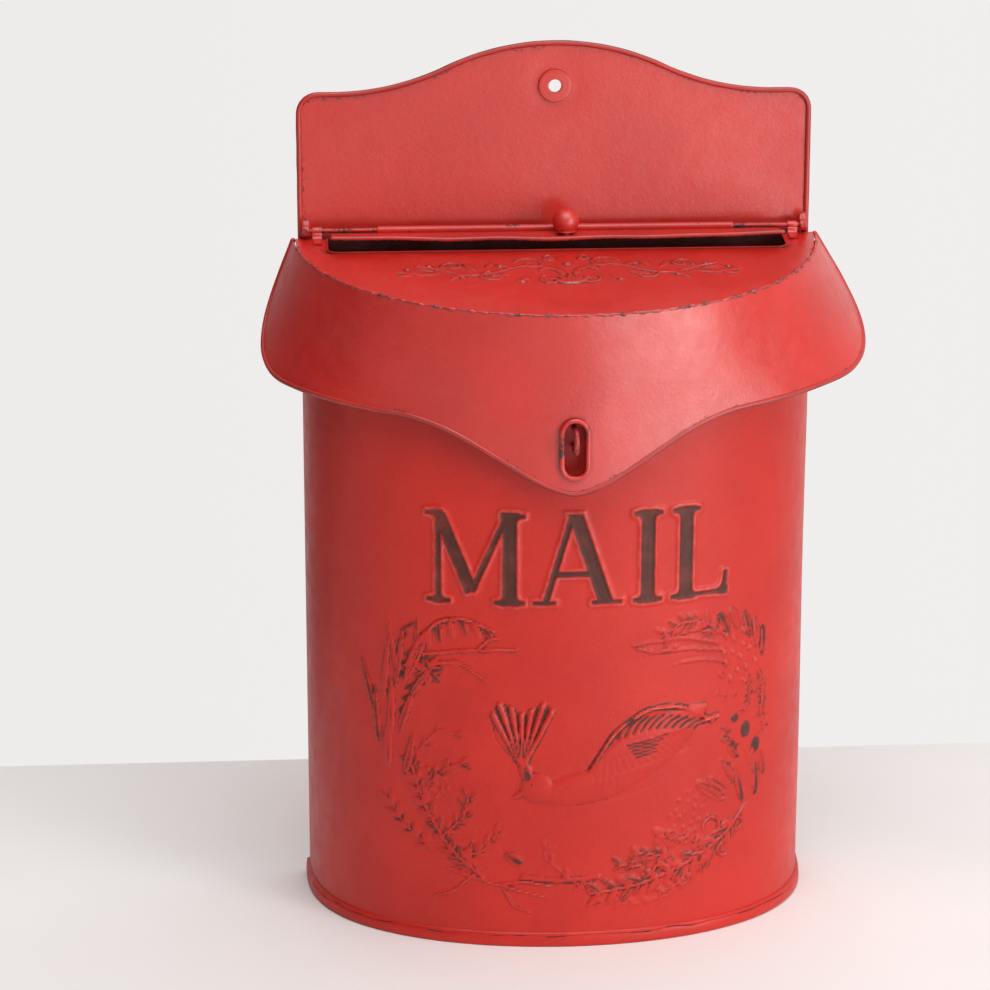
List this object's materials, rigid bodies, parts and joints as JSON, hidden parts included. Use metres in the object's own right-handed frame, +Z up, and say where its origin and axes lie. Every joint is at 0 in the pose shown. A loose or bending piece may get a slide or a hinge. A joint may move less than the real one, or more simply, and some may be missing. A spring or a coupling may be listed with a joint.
{
  "type": "wall mailbox",
  "caption": "Vintage-style red sheet-metal mailbox: D-shaped body on a crowned back plate, hinged lid with flared skirt and padlock hasp, and a lift-up flap over the letter slot.",
  "frame": {"origin": "on the floor plane under the middle of the whole mailbox's width and depth", "axes": "+X across the front to the viewer's right, +Y towards the wall, +Z up"},
  "size_m": [0.2546, 0.1102, 0.3664],
  "materials": {
    "panel_paint": "satin red paint with worn brown edges",
    "lid_paint": "satin red paint, chipped along the seams",
    "wire_paint": "satin dark red paint with brown chips",
    "flap_paint": "satin red paint",
    "knob_paint": "glossy dark red paint"
  },
  "bodies": {
    "root": {"back_plate": "panel_paint", "back_plate_wire": "wire_paint", "hanger_washer": "panel_paint", "body_shell": "panel_paint", "body_top_wire": "wire_paint", "base_pan": "panel_paint", "hasp_staple": "wire_paint", "staple_plate": "panel_paint", "hinge_rod": "wire_paint", "rod_bracket_left": "wire_paint", "rod_bracket_right": "wire_paint"},
    "lid": {"lid_top": "lid_paint", "lid_skirt": "lid_paint", "lid_edge_wire": "wire_paint", "lid_seam": "lid_paint", "slot_ring": "lid_paint", "lid_knuckle_left": "lid_paint", "lid_knuckle_right": "lid_paint"},
    "flap": {"letter_flap": "flap_paint", "flap_sleeve": "flap_paint", "flap_hem_wire": "flap_paint", "flap_knob": "knob_paint", "knob_rivet": "knob_paint"}
  },
  "joints": [
    {"name": "lid_hinge", "type": "hinge", "parent": "root", "child": "lid", "pos_m": [-0.0035, 0.04785, 0.2885], "axis": [-1, 0, 0], "range_deg": [0, 84]},
    {"name": "flap_hinge", "type": "hinge", "parent": "root", "child": "flap", "pos_m": [-0.0035, 0.04785, 0.2885], "axis": [-1, 0, 0], "range_deg": [-18, 62]}
  ]
}
